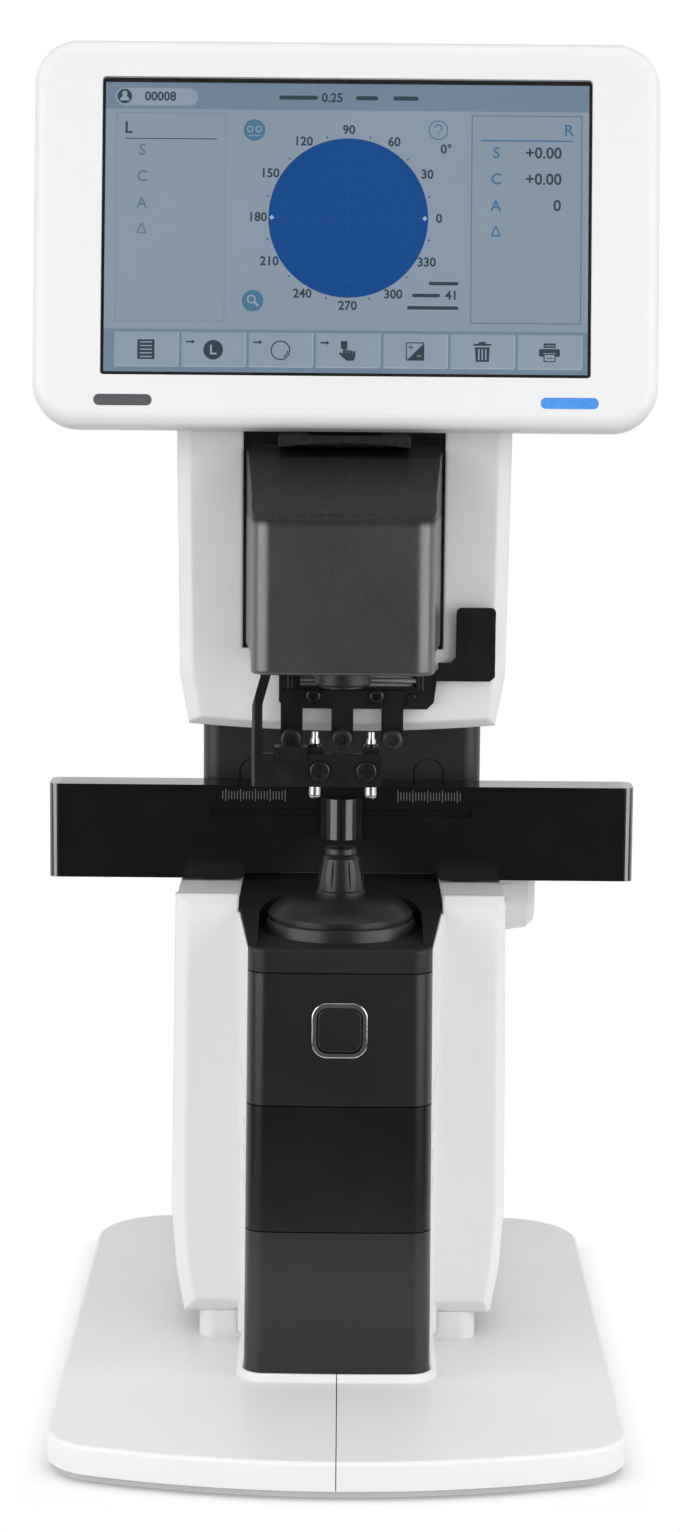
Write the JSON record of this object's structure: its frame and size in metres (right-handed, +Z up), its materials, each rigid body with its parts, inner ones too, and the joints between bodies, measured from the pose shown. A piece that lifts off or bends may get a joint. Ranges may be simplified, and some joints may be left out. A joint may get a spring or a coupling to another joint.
{
  "type": "auto lensmeter",
  "caption": "Desktop automatic lensmeter with a tilting screen, lens rest, sliding reading table, lens presser and marking pins on a wide flat base.",
  "frame": {"origin": "on the table, under the middle of the base", "axes": "+X to the user's right, -Y towards the user, +Z up"},
  "size_m": [0.1974, 0.265, 0.4342],
  "materials": {
    "white_plastic": "satin",
    "grey_plastic": "matt",
    "black_plastic": "fine texture",
    "nose_black": "spark-eroded texture",
    "gloss_black": "gloss",
    "rubber": "matt",
    "black_metal": "black satin",
    "steel": "bright",
    "chrome": "polished",
    "aluminium": "cast",
    "brass": "sintered",
    "optical_glass": "coated",
    "screen_glass": "clear",
    "lcd": "lit display",
    "circuit_board": "solder resist",
    "lamp_dark": "smoked",
    "lamp_blue": "lit"
  },
  "bodies": {
    "root": {"base_cover_left": "white_plastic", "base_cover_right": "white_plastic", "body_shell_left": "white_plastic", "body_shell_right": "white_plastic", "head_shell_left": "white_plastic", "head_shell_right": "white_plastic", "rear_cover": "white_plastic", "base_pan": "grey_plastic", "rubber_feet": "rubber", "head_frame": "aluminium", "slide_block": "aluminium", "power_supply": "aluminium", "chassis_column": "steel", "hinge_pin": "steel", "case_screws": "steel", "rod_bushes": "brass", "column_frame": "black_plastic", "column_lower_panel": "black_plastic", "column_mid_panel": "black_plastic", "column_control_panel": "black_plastic", "column_cap": "black_plastic", "dome_ring": "black_plastic", "dome_cover": "black_plastic", "nosepiece": "black_plastic", "sensor_tube": "black_plastic", "throat_cover": "black_plastic", "objective_barrel": "black_plastic", "power_inlet": "black_plastic", "monitor_bracket": "black_plastic", "nose_cover": "nose_black", "button_ring": "chrome", "hartmann_plate": "black_metal", "port_block": "black_metal", "cover_glass": "optical_glass", "collimator_lens": "optical_glass", "sensor_board": "circuit_board", "light_source": "circuit_board", "main_board": "circuit_board"},
    "monitor": {"monitor_bezel": "white_plastic", "monitor_rear_cover": "white_plastic", "lcd_panel": "lcd", "touch_glass": "screen_glass", "status_window": "lamp_dark", "power_lamp": "lamp_blue"},
    "reading_table": {"table_bar": "gloss_black", "table_rods": "steel", "table_rack": "steel"},
    "knob": {"table_knob": "white_plastic", "knob_shaft": "steel"},
    "pad_slider": {"nose_pad_slider": "gloss_black"},
    "presser": {"presser_bracket": "black_metal", "presser_legs": "black_metal", "presser_screws": "black_metal", "presser_tips": "rubber", "presser_rods": "steel"},
    "marker": {"marker_arm": "black_metal", "marker_screws": "black_metal", "marking_pins": "steel"},
    "button": {"measure_button": "black_plastic"},
    "rocker": {"power_switch": "black_plastic"}
  },
  "joints": [
    {"name": "monitor_tilt", "type": "hinge", "parent": "root", "child": "monitor", "pos_m": [0, 0.004, 0.336], "axis": [-1, 0, 0], "range_deg": [0, 15]},
    {"name": "table_slide", "type": "slide", "parent": "root", "child": "reading_table", "axis": [0, -1, 0], "range_m": [0, 0.024]},
    {"name": "knob_turn", "type": "hinge", "parent": "root", "child": "knob", "pos_m": [0.06, 0.06, 0.1534], "axis": [1, 0, 0], "range_deg": [0, 172]},
    {"name": "pad_slide", "type": "slide", "parent": "reading_table", "child": "pad_slider", "axis": [1, 0, 0], "range_m": [-0.035, 0.035]},
    {"name": "presser_slide", "type": "slide", "parent": "root", "child": "presser", "axis": [0, 0, -1], "range_m": [0, 0.03], "stiffness_N_per_m": 60, "springref_m": -0.012},
    {"name": "marker_slide", "type": "slide", "parent": "root", "child": "marker", "axis": [0, 0, -1], "range_m": [0, 0.014], "stiffness_N_per_m": 80, "springref_m": -0.01},
    {"name": "button_press", "type": "slide", "parent": "root", "child": "button", "axis": [0, 1, 0], "range_m": [0, 0.0015], "stiffness_N_per_m": 400, "springref_m": -0.001},
    {"name": "switch_rock", "type": "hinge", "parent": "root", "child": "rocker", "pos_m": [0.003, 0.107, 0.044], "axis": [1, 0, 0], "range_deg": [0, 20]}
  ],
  "couplings": [
    {"joint": "knob_turn", "follows": "table_slide", "rad_per_m": 125}
  ]
}
